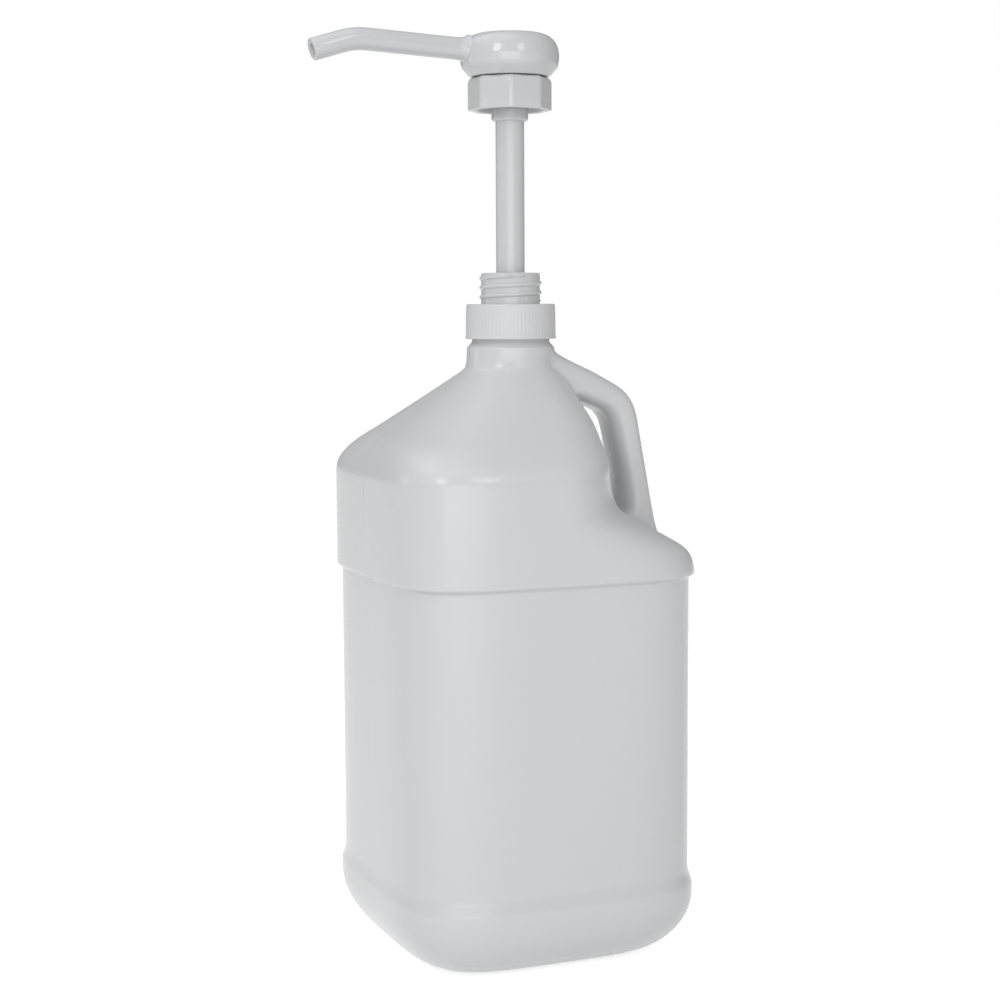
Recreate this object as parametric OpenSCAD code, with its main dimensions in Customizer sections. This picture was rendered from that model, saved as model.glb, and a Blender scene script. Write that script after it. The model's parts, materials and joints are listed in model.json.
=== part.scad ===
// A four litre blow-moulded jug with a through handle and a screw-on hand pump.
// Origin: centre of the base, on the neck's axis. +Z is up, +X points at the handle.

/* [Jug body] */
// Length of the label panel, along X
panel_l = 138.5; // [132:0.5:148]
// Depth of the label panel, along Y
panel_d = 137; // [130:0.5:146]
// How far the base and shoulder bands stand out from the panel
band_step = 1.9; // [0.8:0.1:2.4]
// Height of the base band
base_band_h = 33; // [29:1:38]
// Height of the panel's top edge
panel_top = 171.5; // [166:0.5:176]
// Reach of the rounded vertical corners
corner_reach = 66; // [56:1:66]
// Fullness of the corners, 2 is a circle
corner_full = 4.3; // [3.4:0.1:5]
// How far the base is rounded in, seen from the side
base_round_w = 26; // [18:1:28]
// Height of the rounding at the base
base_round_h = 27; // [20:1:28]
// Height of the hollow under the base
base_hollow = 2.5; // [1:0.5:4]
// Width of the ring that the jug stands on
base_ring_w = 10; // [7:1:12]
// Half the width of the pad in the middle of the base
base_pad = 13; // [8:1:18]
// Wall of the jug
jug_wall = 1.2; // [0.8:0.1:1.6]
// Height of the edge between the front face and the shoulder
front_edge_z = 221; // [217:1:224]
// Height where the left face would meet the left slope
left_edge_z = 227; // [225:0.5:231]
// Height where the right face would meet the ledge under the handle
right_edge_z = 182; // [180:1:185]
// Height of the shoulder's foot, where the neck starts
shoulder_z = 262; // [260:1:266]

/* [Jug neck] */
// Radius of the collar under the closure
collar_r = 19.9; // [19.4:0.05:20.4]
// Height of the collar's top
collar_top = 272.5; // [271:0.5:273]
// Height of the neck's rim
rim_z = 286.6; // [284:0.2:288]
// Radius of the neck at the root of its thread
finish_r = 17.55; // [17.2:0.05:17.8]
// Height of the neck's thread above its root
finish_thread = 1.2; // [0.8:0.1:1.4]
// Radius of the opening in the neck
mouth_r = 15; // [14.4:0.1:15.4]
// Pitch of every thread, six to the inch
pitch = 4.233; // [3.8:0.001:4.6]

/* [Jug handle] */
// Thickness of the handle, seen from the front
handle_t = 14; // [12:0.5:16]
// Width of the handle, along Y
handle_w = 27; // [22:1:30]
// Distance from the neck's axis to the grip, at half its height
handle_x = 58.9; // [57:0.1:61]
// Height of the handle's upper corner
handle_top_z = 246.5; // [243:0.5:249]
// Radius of the handle's upper corner
handle_bend = 14; // [10:1:18]
// How far the finger gap's wall stands from the neck's axis
gap_wall_x = 31; // [28:0.5:33]

/* [Closure] */
// Height of the closure
closure_h = 15.7; // [15:0.1:17]
// Radius over the ribs of the closure
closure_r = 20.4; // [20.2:0.05:20.9]
// Thickness of the closure's top
closure_top_t = 2.2; // [1.6:0.1:2.6]
// Number of ribs on the closure
closure_ribs = 72; // [48:4:96]
// Thickness of the gasket on the rim
gasket_t = 1.2; // [0.8:0.1:1.6]
// Thickness of the pump flange that is clamped on the gasket
flange_t = 1.8; // [1.4:0.1:2.2]

/* [Pump] */
// Outer radius of the stem
stem_r = 6.45; // [6:0.05:7]
// Wall of the stem
stem_wall = 1.95; // [1.4:0.05:2.2]
// Height of the threaded stub above the closure
stub_h = 13.9; // [12:0.1:16]
// Radius of the threaded stub at the root of its thread
stub_r = 13.3; // [12.9:0.05:13.5]
// Height of the stub's thread above its root
stub_thread = 0.95; // [0.9:0.05:1.3]
// Bore radius of the pump's cylinder
bore_r = 11.75; // [11.4:0.05:12]
// Wall of the pump's cylinder
cylinder_wall = 1.5; // [1.2:0.1:1.6]
// Travel of the plunger
stroke = 70; // [60:1:71]
// Wire diameter of the return spring
wire_d = 1.4; // [1:0.1:1.6]
// Number of turns of the return spring
spring_turns = 9; // [7:1:10]
// Diameter of the two check balls
ball_d = 6.4; // [6:0.1:7]
// Lift of the check balls off their seats
ball_lift = 2; // [1.5:0.1:3]
// Outer radius of the dip tube
tube_r = 4.2; // [3.8:0.1:4.6]
// Wall of the dip tube
tube_wall = 1; // [0.8:0.1:1.2]
// Height of the dip tube's foot above the surface under the jug
tube_foot = 9; // [7:1:14]

/* [Head] */
// Height of the whole pump jug
total_h = 412.4; // [405:0.2:420]
// Widest radius of the head
head_r = 22.3; // [21:0.1:24]
// Height of the head
head_h = 19.4; // [18:0.2:22]
// Outer radius of the spout
spout_r = 4.9; // [4.5:0.1:5.4]
// Bore radius of the spout
spout_bore = 2.7; // [2:0.1:3.2]
// Distance from the neck's axis to the spout's bend
spout_bend_x = 73; // [65:1:78]
// Length of the spout past its bend
spout_tip = 20; // [16:1:24]
// Rise of the spout from the head, in degrees
spout_rise = 3; // [1:0.5:5]
// Turn of the spout at its bend, in degrees
spout_turn = 20; // [12:1:26]
// Width of the eight-sided lock nut, across its flats
nut_w = 35.2; // [34:0.1:37]
// Height of the lock nut
nut_h = 14.3; // [13:0.1:16]
// Radius of the collar on the stem
stem_collar_r = 8.25; // [8:0.05:8.6]
// How far the collar on the stem shows under the lock nut
stem_collar_show = 4.7; // [3:0.1:6]

/* [Hidden] */
$fn = 64;
white = [0.86, 0.87, 0.88];
cut = 0.5;
gap = 0.3;
slide_fit = 0.05;

half_l = panel_l / 2;
half_d = panel_d / 2;
pad_inset = min(half_l, half_d) + band_step - base_round_w - base_pad;
base_slope = 4;
ring_points = 52;
cavity_points = 36;
neck_blend_r = 21.5;
closure_z = rim_z + gasket_t + flange_t + gap + closure_top_t - closure_h;
closure_top = closure_z + closure_h;
flange_z = rim_z + gasket_t;
stub_z = flange_z + flange_t;
stub_top = closure_top + stub_h;
cylinder_r = bore_r + cylinder_wall;

skirt_z = stub_z - 6;
seal_pocket_h = 3;
seal_pocket_r = stem_r + 2.1;
recess_r = stem_collar_r + 0.4;
recess_z = stub_z + 1.6;

head_z = total_h - head_h;
nut_top = head_z - 0.5;
nut_z = nut_top - nut_h;
nut_web = 3.7;
nut_neck_r = stem_collar_r - 0.9;
stem_collar_z = nut_z - stem_collar_show;
spout_z = head_z + 10.3;
stem_top = head_z + 7;

piston_h = 16;
piston_top = skirt_z - gap;
piston_z = piston_top - piston_h;
piston_flange = 1.7;
groove_r = bore_r - 2.8;
seat_r = ball_d / 2 - 0.8;
seat_t = 1.7;
ball_r = ball_d / 2;
ball_rise = sqrt(ball_r * ball_r - seat_r * seat_r);
outlet_ball_z = piston_z + seat_t + ball_rise;
stem_foot = outlet_ball_z + ball_r + ball_lift + gap;

spring_solid = (spring_turns + 1) * wire_d;
spring_seat_z = piston_z - stroke - spring_solid - 3;
cage_flange = 2;
cylinder_floor = spring_seat_z - cage_flange;
chamber_r = ball_r + 1.4;
chamber_h = 10;
inlet_seat_z = cylinder_floor - chamber_h;
inlet_ball_z = inlet_seat_z + ball_rise;
cage_foot = inlet_ball_z + ball_r + ball_lift + gap;
socket_top = inlet_seat_z - seat_t;
socket_h = 18;
socket_r = tube_r + 1.6;

// Points of a path of [a, b, radius] corners, with each corner rounded by its radius.
function unit(v) = v / norm(v);
function corner(a, b, c, r, n) =
    let (u = unit(a - b), v = unit(c - b), half = acos(u * v) / 2,
         from = b + u * r / tan(half), mid = b + unit(u + v) * r / sin(half),
         start = atan2(from.y - mid.y, from.x - mid.x),
         turn = cross(u, v) > 0 ? half * 2 - 180 : 180 - half * 2)
    [for (i = [0:n]) mid + r * [cos(start + turn * i / n), sin(start + turn * i / n)]];
function flat2(p) = [p[0], p[1]];
function rounded(p, n) = concat([flat2(p[0])],
    [for (i = [1:len(p) - 2])
        each p[i][2] > 0 ? corner(flat2(p[i - 1]), flat2(p[i]), flat2(p[i + 1]), p[i][2], n)
                         : [flat2(p[i])]],
    [flat2(p[len(p) - 1])]);
function swapped(p) = [for (q = p) [q[1], q[0]]];

// The jug's outline seen from the front (left and right sides) and from the side.
band_soft = 2.4;
band_low = max(base_band_h - band_soft, base_round_h + 1);
band_round = 2.5;
band_edge = 0.7;
left_round = 24;
front_round = 12;
edge_round = 9;
ledge_round = 26;
gap_round = 24;
gap_foot_x = gap_wall_x + 4;
gap_foot_z = right_edge_z + 22;
function lower_side(h) = [
    [h + band_step, -1, 0], [h + band_step, base_band_h - band_soft, band_round],
    [h, base_band_h + band_soft, band_round], [h, panel_top - band_edge, 0],
    [h + band_step, panel_top + band_edge, 0]];
left_side = swapped(rounded(concat(lower_side(half_l), [
    [half_l + band_step, left_edge_z, left_round], [neck_blend_r - 0.5, shoulder_z + 0.6, 2],
    [collar_r, shoulder_z + 4, 0], [collar_r, rim_z, 0]]), 6));
right_side = swapped(rounded(concat(lower_side(half_l), [
    [half_l + band_step, right_edge_z, edge_round], [gap_foot_x, gap_foot_z, ledge_round],
    [gap_wall_x, shoulder_z - 22, gap_round], [neck_blend_r, shoulder_z, 3],
    [collar_r, shoulder_z + 2, 0], [collar_r, rim_z, 0]]), 6));
front_side = swapped(rounded(concat(lower_side(half_d), [
    [half_d + band_step, front_edge_z, front_round], [neck_blend_r, shoulder_z, 3],
    [collar_r, shoulder_z + 2, 0], [collar_r, rim_z, 0]]), 6));
left_reach = [[front_edge_z - 6, corner_reach], [shoulder_z, collar_r]];
right_reach = [[right_edge_z - 8, corner_reach], [right_edge_z + 27, 43], [shoulder_z, collar_r]];
right_depth = [[right_edge_z - 8, corner_reach], [right_edge_z + 15, half_d], [shoulder_z, collar_r]];
left_full = [[front_edge_z - 4, corner_full], [front_edge_z + 14, 2.6], [shoulder_z, 2]];
right_full = [[right_edge_z - 8, corner_full], [right_edge_z + 18, 2.2], [shoulder_z, 2]];

function base_in(z) = z >= base_round_h ? 0
    : base_round_w * (1 - sqrt(1 - pow(1 - max(z, 0) / base_round_h, 2)));
function quarter(hx, hy, rx, ry, m, a) =
    [hx - rx + rx * pow(cos(a), 2 / m), hy - ry + ry * pow(sin(a), 2 / m)];

// One level cross-section: the sides at height side_z, the base rounding at height base_z,
// pulled in by inset all round, and drawn at height z.
function section(z, side_z, base_z, inset, n) =
    let (q = n / 4, lm = lookup(side_z, left_full), rm = lookup(side_z, right_full),
         d = base_in(base_z) + inset,
         l = lookup(side_z, left_side) - d, r = lookup(side_z, right_side) - d,
         w = lookup(side_z, front_side) - d,
         lr = min(lookup(side_z, left_reach), l, w),
         rr = min(lookup(side_z, right_reach), w, r + l - lr),
         rd = min(lookup(side_z, right_depth), w))
    [for (k = [0:3]) for (i = [0:q - 1])
        let (t = k % 2 == 0 ? i / q * 90 : 90 - i / q * 90,
             p = k == 0 || k == 3 ? quarter(r, w, rr, rd, rm, t) : quarter(l, w, lr, lr, lm, t))
        [k == 0 || k == 3 ? p.x : -p.x, k < 2 ? p.y : -p.y, z]];

// A closed solid through rings of points, the first ring lowest or first along the sweep.
module skin(rings) {
    n = len(rings[0]);
    last = len(rings) - 1;
    faces = concat(
        [[for (i = [0:n - 1]) i]],
        [[for (i = [n - 1:-1:0]) last * n + i]],
        [for (k = [0:last - 1]) for (i = [0:n - 1])
            let (j = (i + 1) % n, a = k * n + i, b = k * n + j) each
            [[a, a + n, b + n], [a, b + n, b]]]);
    polyhedron(points = [for (r = rings) each r], faces = faces, convexity = 8);
}

// A helical ridge. Its root lies inside the wall that carries it, and its ends run out.
module helix_thread(root, crest, z, turns, base_w, crest_w, phase = 0, steps = 24) {
    n = ceil(turns * steps);
    skin([for (i = [0:n])
        let (t = i / steps, a = phase + t * 360, run = min(1, t * 6, (turns - t) * 6),
             c = root + (crest - root) * max(run, 0.02), mid = z + t * pitch,
             ring = [[root, -base_w / 2], [root, base_w / 2], [c, crest_w / 2], [c, -crest_w / 2]],
             order = crest > root ? [0, 1, 2, 3] : [3, 2, 1, 0])
        [for (k = order) [ring[k][0] * cos(a), ring[k][0] * sin(a), mid + ring[k][1]]]]);
}

// The handle's centre line in the plane of the spout, and a tube along it that widens
// towards its foot and its root.
foot_z = right_edge_z + 14;
grip_z = (handle_top_z + foot_z) / 2 - 9;
root_x = 52;
handle_path = rounded([
    [10, shoulder_z + 3.5, 0], [handle_x - 6.5, handle_top_z, handle_bend], [handle_x, grip_z, 0],
    [handle_x + 2.5, foot_z, 0], [handle_x + 3.2, foot_z - 9, 0],
    [handle_x + 1.5, foot_z - 24, 0]], 4);

module handle_tube(thin) {
    last = len(handle_path) - 1;
    rings = [for (i = [0:last])
        let (p = handle_path[i],
             d = unit(handle_path[min(i + 1, last)] - handle_path[max(i - 1, 0)]),
             foot = max(0, foot_z - p.y) / 22, root = max(0, root_x - p.x) / 15,
             a = handle_t / 2 - thin + foot + root, b = handle_w / 2 - thin + foot * 3 + root)
        [for (k = [0:19])
            [p.x + d.y * a * cos(k * 18), b * sin(k * 18), p.y - d.x * a * cos(k * 18)]]];
    for (i = [0:last - 1]) hull() skin([rings[i], rings[i + 1]]);
}

finish_z = rim_z - 3.2;
thread_z = finish_z - 6.5;

// The jug without its hollow.
module jug_body() {
    levels = concat(
        [for (a = [0:15:90]) base_round_h * (1 - cos(a))],
        [band_low, base_band_h + band_soft, panel_top - band_edge, panel_top + band_edge],
        [for (z = [right_edge_z - 7:2.2:front_edge_z - 8]) z],
        [for (z = [front_edge_z - 6:2.6:front_edge_z + 19]) z],
        [for (z = [front_edge_z + 22:5:shoulder_z - 3]) z],
        [for (z = [shoulder_z - 1:1.7:shoulder_z + 4.2]) z]);
    skin(concat(
        [section(0, 0, 0, pad_inset, ring_points),
         section(base_hollow, 0, 0, pad_inset - base_slope, ring_points),
         section(base_hollow, 0, 0, base_ring_w + base_slope, ring_points),
         section(0, 0, 0, base_ring_w, ring_points)],
        [for (z = levels) section(z, z, z, 0, ring_points)]));
    translate([0, 0, shoulder_z]) cylinder(r = collar_r, h = collar_top - shoulder_z);
    translate([0, 0, collar_top - cut])
        cylinder(r1 = collar_r, r2 = finish_r, h = collar_r - finish_r + cut);
    translate([0, 0, collar_top - cut]) cylinder(r = finish_r, h = rim_z - collar_top + cut);
    helix_thread(finish_r - cut, finish_r + finish_thread, thread_z, 1.4, 2.8, 1.2);
    handle_tube(0);
}

// The jug's hollow, with the mouth and the inside of the handle.
module jug_hollow() {
    floor_z = base_hollow + jug_wall;
    levels = concat(
        [for (a = [20:17.5:90]) base_round_h * (1 - cos(a))],
        [band_low, base_band_h + band_soft, panel_top - 2, panel_top],
        [for (z = [right_edge_z - 7:3.5:front_edge_z - 8]) z],
        [for (z = [front_edge_z - 6:4:shoulder_z]) z]);
    skin(concat(
        [section(floor_z, 0, 1, base_ring_w + base_slope + jug_wall, cavity_points)],
        [for (z = levels)
            section(max(z, floor_z) + 0.4 * jug_wall, z + 0.7 * jug_wall,
                    z - 0.7 * jug_wall, jug_wall, cavity_points)],
        [section(shoulder_z + 3, rim_z, rim_z, collar_r - mouth_r, cavity_points)]));
    translate([0, 0, shoulder_z + 2]) cylinder(r = mouth_r, h = rim_z - shoulder_z);
    handle_tube(1.3 * jug_wall);
}

module jug() color(white) {
    difference() {
        jug_body();
        jug_hollow();
    }
}

module closure() color(white) {
    inner_r = finish_r + finish_thread + gap;
    lip_h = 1.2;
    top_band = 2.6;
    difference() {
        union() {
            translate([0, 0, closure_z]) cylinder(r = closure_r + 0.1, h = lip_h);
            translate([0, 0, closure_z + lip_h]) linear_extrude(closure_h - lip_h - top_band)
                polygon([for (i = [0:closure_ribs * 2 - 1])
                    let (r = closure_r - (i % 2) * 0.4, a = (i + 0.5) * 180 / closure_ribs)
                    [r * cos(a), r * sin(a)]]);
            rotate_extrude() polygon(concat(
                [[0, closure_top - top_band], [closure_r - 0.2, closure_top - top_band]],
                corner([closure_r - 0.2, closure_top - top_band], [closure_r - 0.3, closure_top],
                       [0, closure_top], 0.8, 4),
                [[0, closure_top]]));
        }
        translate([0, 0, closure_z - cut])
            cylinder(r = inner_r, h = closure_h - closure_top_t + cut);
        translate([0, 0, closure_z]) cylinder(r = stub_r + gap, h = closure_h + cut);
    }
    helix_thread(inner_r + cut, finish_r + 0.45, thread_z + pitch / 2, 1.3, 2.3, 0.8);
}

module ring_solid(outer, inner, z, h) {
    translate([0, 0, z]) difference() {
        cylinder(r = outer, h = h);
        translate([0, 0, -cut]) cylinder(r = inner, h = h + 2 * cut);
    }
}

module neck_gasket() color([0.7, 0.72, 0.74]) {
    ring_solid(finish_r - 0.2, mouth_r - 1.2, rim_z, gasket_t);
}

module pump_cylinder() color([0.93, 0.94, 0.95]) {
    rotate_extrude() polygon([
        [seat_r, inlet_seat_z], [seat_r, socket_top], [tube_r + slide_fit, socket_top],
        [tube_r + slide_fit, socket_top - socket_h], [socket_r, socket_top - socket_h],
        [socket_r, cylinder_floor - 8], [cylinder_r, cylinder_floor - 1], [cylinder_r, flange_z],
        [finish_r - 0.4, flange_z], [finish_r - 0.4, stub_z], [bore_r, stub_z],
        [bore_r, cylinder_floor], [chamber_r, cylinder_floor], [chamber_r, inlet_seat_z]]);
}

module threaded_collar() color(white) {
    difference() {
        union() {
            translate([0, 0, skirt_z]) cylinder(r = bore_r - slide_fit, h = stub_z - skirt_z + cut);
            translate([0, 0, stub_z]) cylinder(r = stub_r, h = stub_top - stub_z - 0.8);
            translate([0, 0, stub_top - 0.8]) cylinder(r1 = stub_r, r2 = stub_r - 0.8, h = 0.8);
            helix_thread(stub_r - cut, stub_r + stub_thread, closure_top + gap + 1.2,
                         (stub_h - 2.7) / pitch, 2.3, 0.9, 37);
        }
        translate([0, 0, skirt_z - cut]) cylinder(r = stem_r + slide_fit, h = stub_top);
        translate([0, 0, skirt_z - cut]) cylinder(r = seal_pocket_r, h = seal_pocket_h + cut);
        translate([0, 0, recess_z]) cylinder(r = recess_r, h = stub_top);
    }
}

module stem_seal() color([0.75, 0.77, 0.8]) {
    ring_solid(seal_pocket_r - slide_fit, stem_r + slide_fit, skirt_z + 0.4, seal_pocket_h - 0.4);
}

module dip_tube() color([0.9, 0.91, 0.92]) {
    difference() {
        translate([0, 0, tube_foot]) cylinder(r = tube_r, h = socket_top - tube_foot);
        translate([0, 0, tube_foot - cut]) cylinder(r = tube_r - tube_wall, h = socket_top);
        translate([0, 0, tube_foot]) rotate([0, 30, 0]) translate([-4 * tube_r, -tube_r * 2, -tube_r * 4])
            cube([8 * tube_r, tube_r * 4, tube_r * 4]);
    }
}

module inlet_ball() color([0.7, 0.72, 0.75]) {
    translate([0, 0, inlet_ball_z]) sphere(r = ball_r);
}

module ball_cage() color([0.88, 0.89, 0.9]) {
    difference() {
        union() {
            translate([0, 0, cylinder_floor]) cylinder(r = bore_r - 0.1, h = cage_flange);
            translate([0, 0, cage_foot]) cylinder(r = chamber_r - 0.1, h = cylinder_floor - cage_foot + cut);
        }
        translate([0, 0, cage_foot - cut]) cylinder(r = seat_r, h = 20);
        for (a = [0:60:120]) rotate([0, 0, a])
            translate([-ball_r, -0.7, cage_foot - cut]) cube([ball_d, 1.4, 20]);
    }
}

module return_spring() color([0.6, 0.62, 0.65]) {
    r = wire_d / 2;
    coil_r = bore_r - r - 1.5;
    run = [[0, spring_seat_z + r], [1, spring_seat_z + r + wire_d * 1.1],
           [spring_turns - 1, piston_z - r - wire_d * 1.1], [spring_turns, piston_z - r]];
    steps = 18;
    skin([for (i = [0:spring_turns * steps])
        let (a = i / steps * 360, z = lookup(i / steps, run))
        [for (k = [0:7]) let (b = -k * 45, c = coil_r + r * cos(b))
            [c * cos(a), c * sin(a), z + r * sin(b)]]]);
}

module piston_ring() color([0.95, 0.95, 0.9]) {
    low = piston_z + piston_flange + slide_fit;
    high = piston_top - piston_flange - slide_fit;
    lip = bore_r - slide_fit;
    rotate_extrude() polygon([
        [groove_r + slide_fit, low], [lip - 0.4, low], [lip, low + 0.6], [lip, low + 1.8],
        [lip - 0.8, low + 3.2], [lip - 0.8, high - 3.2], [lip, high - 1.8], [lip, high - 0.6],
        [lip - 0.4, high], [groove_r + slide_fit, high]]);
}

module piston() color([0.85, 0.87, 0.9]) {
    flange_r = bore_r - 0.5;
    rotate_extrude() polygon([
        [seat_r, piston_z], [flange_r, piston_z], [flange_r, piston_z + piston_flange],
        [groove_r, piston_z + piston_flange], [groove_r, piston_top - piston_flange],
        [flange_r, piston_top - piston_flange], [flange_r, piston_top], [stem_r, piston_top],
        [stem_r, stem_foot], [ball_r + 0.6, stem_foot], [ball_r + 0.6, piston_z + seat_t],
        [seat_r, piston_z + seat_t]]);
}

module outlet_ball() color([0.7, 0.72, 0.75]) {
    translate([0, 0, outlet_ball_z]) sphere(r = ball_r);
}

module stem() color(white) {
    foot_t = 1.2;
    difference() {
        translate([0, 0, stem_foot]) cylinder(r = stem_r, h = stem_top - stem_foot);
        translate([0, 0, stem_foot + foot_t]) cylinder(r = stem_r - stem_wall, h = stem_top);
        for (a = [0, 90]) rotate([0, 0, a])
            translate([-ball_r - 0.4, -1, stem_foot - cut]) cube([ball_d + 0.8, 2, foot_t + 2 * cut]);
    }
}

module stem_collar() color(white) {
    shoulder = nut_top - nut_web - gap;
    rotate_extrude() polygon(concat([[stem_r, stem_collar_z]],
        corner([stem_r, stem_collar_z], [stem_collar_r, stem_collar_z],
               [stem_collar_r, shoulder], 1.2, 5),
        [[stem_collar_r, shoulder], [nut_neck_r, shoulder], [nut_neck_r, head_z], [stem_r, head_z]]));
}

// A polygon with flat sides at half its width and rounded corners.
function round_polygon(sides, half_w, r) = [for (i = [0:sides - 1]) for (k = [0:5])
    let (a = (i + 0.5) * 360 / sides, c = (half_w - r) / cos(180 / sides),
         b = a + (k / 5 - 0.5) * 360 / sides)
    [c * cos(a) + r * cos(b), c * sin(a) + r * sin(b)]];

module lock_nut() color(white) {
    nut_r = nut_w / 2;
    inner_r = stub_r + stub_thread + gap;
    difference() {
        intersection() {
            translate([0, 0, nut_z]) linear_extrude(nut_h) rotate(1.8)
                polygon(round_polygon(8, nut_r, 3));
            rotate_extrude() polygon(concat([[0, nut_z], [nut_r + 0.6, nut_z], [nut_r + 1.2, nut_z + 1]],
                corner([nut_r + 1.2, nut_z + 1], [nut_r + 1.2, nut_top], [0, nut_top], 3, 6),
                [[0, nut_top]]));
        }
        translate([0, 0, nut_z - cut]) cylinder(r = inner_r, h = nut_h - nut_web + cut);
        translate([0, 0, nut_z - cut]) cylinder(r = nut_neck_r + gap, h = nut_h + 2 * cut);
    }
    helix_thread(inner_r + cut, stub_r + gap, nut_z + 2.2, 1.5, 1.6, 0.6, 200);
}

module spout_tube(r, back, over) {
    knuckle = 0.08;
    translate([0, 0, spout_z]) rotate([0, -90 + spout_rise, 0]) {
        translate([0, 0, back]) cylinder(r = r, h = spout_bend_x - back);
        translate([0, 0, spout_bend_x]) sphere(r = r + knuckle);
        translate([0, 0, spout_bend_x]) rotate([0, -spout_turn, 0]) cylinder(r = r, h = spout_tip + over);
    }
}

module pump_head() color(white) {
    difference() {
        union() {
            rotate_extrude() polygon(concat(
                [[0, head_z]],
                corner([0, head_z], [head_r - 4.6, head_z], [head_r - 0.6, head_z + 4.5], 1, 3),
                corner([head_r - 4.6, head_z], [head_r - 0.6, head_z + 4.5],
                       [head_r, head_z + 9], 6, 4),
                corner([head_r, head_z + 9], [head_r - 1.4, total_h - 0.9], [0, total_h], 8.5, 8),
                [[0, total_h]]));
            spout_tube(spout_r, 12, 0);
        }
        rotate_extrude() polygon([
            [stem_r + 3, head_z - cut], [head_r - 6, head_z - cut], [head_r - 4, head_z + 5],
            [stem_r + 3, head_z + 5]]);
        translate([0, 0, head_z - cut]) cylinder(r = stem_r, h = stem_top - head_z + cut);
        translate([0, 0, stem_top - cut]) cylinder(r = stem_r - stem_wall, h = spout_z - stem_top + cut);
        spout_tube(spout_bore, 0, cut);
    }
}

jug();
closure();
neck_gasket();
pump_cylinder();
threaded_collar();
stem_seal();
dip_tube();
inlet_ball();
ball_cage();
return_spring();
piston_ring();
piston();
outlet_ball();
stem();
stem_collar();
lock_nut();
pump_head();
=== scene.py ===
# A four litre jug with a hand pump: the finished look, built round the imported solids.
import json
import math
import bmesh
import bpy
from mathutils import Matrix, Vector


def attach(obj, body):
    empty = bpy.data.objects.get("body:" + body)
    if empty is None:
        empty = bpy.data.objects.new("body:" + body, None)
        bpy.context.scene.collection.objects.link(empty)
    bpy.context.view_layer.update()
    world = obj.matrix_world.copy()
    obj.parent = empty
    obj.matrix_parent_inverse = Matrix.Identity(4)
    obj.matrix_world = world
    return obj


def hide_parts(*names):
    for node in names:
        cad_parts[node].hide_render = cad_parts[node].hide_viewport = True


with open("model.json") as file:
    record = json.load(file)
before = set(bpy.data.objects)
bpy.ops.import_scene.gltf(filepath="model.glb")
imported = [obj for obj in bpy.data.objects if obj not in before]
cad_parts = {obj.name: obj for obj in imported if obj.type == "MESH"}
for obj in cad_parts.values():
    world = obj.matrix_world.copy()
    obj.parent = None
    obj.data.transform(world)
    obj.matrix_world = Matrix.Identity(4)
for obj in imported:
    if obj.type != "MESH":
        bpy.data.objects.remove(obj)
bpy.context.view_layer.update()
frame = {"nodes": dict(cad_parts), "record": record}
mm = 0.001  # every size below is in millimetres
threadPitch = 4.233  # six threads to the inch, for all four threads


def roundedPath(points, steps):
    # points are (a, b, radius); each corner with a radius becomes a short arc
    out = [Vector(points[0][:2])]
    for before, at, after in zip(points, points[1:], points[2:]):
        here = Vector(at[:2])
        if not at[2]:
            out.append(here)
            continue
        u = (Vector(before[:2]) - here).normalized()
        v = (Vector(after[:2]) - here).normalized()
        half = u.angle(v) / 2
        start = here + u * at[2] / math.tan(half)
        mid = here + (u + v).normalized() * at[2] / math.sin(half)
        arm = start - mid
        turn = (math.pi - 2 * half) * (-1 if u.x * v.y - u.y * v.x > 0 else 1)
        for k in range(steps + 1):
            out.append(mid + Matrix.Rotation(turn * k / steps, 2) @ arm)
    return out + [Vector(points[-1][:2])]


def lookUp(table, key):
    # straight-line reading of a table of (key, value) rows in rising order
    if key <= table[0][0]:
        return table[0][1]
    for low, high in zip(table, table[1:]):
        if key <= high[0]:
            return low[1] + (high[1] - low[1]) * (key - low[0]) / max(high[0] - low[0], 1e-9)
    return table[-1][1]


def stackRings(bm, rings, joinEnds=False):
    # one circle, extruded ring by ring, with each ring moved to its own points
    made = bmesh.ops.create_circle(bm, segments=len(rings[0]), radius=1)
    loop = made["verts"]
    for vert, point in zip(loop, rings[0]):
        vert.co = Vector(point) * mm
    edges = list({e for v in loop for e in v.link_edges})
    loops = [loop]
    for ring in rings[1:]:
        made = bmesh.ops.extrude_edge_only(bm, edges=edges)
        fresh = [g for g in made["geom"] if isinstance(g, bmesh.types.BMVert)]
        edges = [g for g in made["geom"] if isinstance(g, bmesh.types.BMEdge)]
        partner = {}
        freshSet = set(fresh)
        for vert in fresh:
            for edge in vert.link_edges:
                other = edge.other_vert(vert)
                if other not in freshSet:
                    partner[other] = vert
        loop = [partner[v] for v in loop]
        for vert, point in zip(loop, ring):
            vert.co = Vector(point) * mm
        loops.append(loop)
    if joinEnds:
        first = [bm.edges.get((a, b)) for a, b in zip(loops[0], loops[0][1:] + loops[0][:1])]
        bmesh.ops.bridge_loops(bm, edges=first + edges)
    return loops


def capLoop(bm, loop):
    edges = [bm.edges.get((a, b)) for a, b in zip(loop, loop[1:] + loop[:1])]
    bmesh.ops.contextual_create(bm, geom=edges)


def turned(profile, segments):
    # rings of a turned piece from (radius, height) points
    return [[(r * math.cos(2 * math.pi * k / segments), r * math.sin(2 * math.pi * k / segments), z)
             for k in range(segments)] for r, z in profile]


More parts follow.
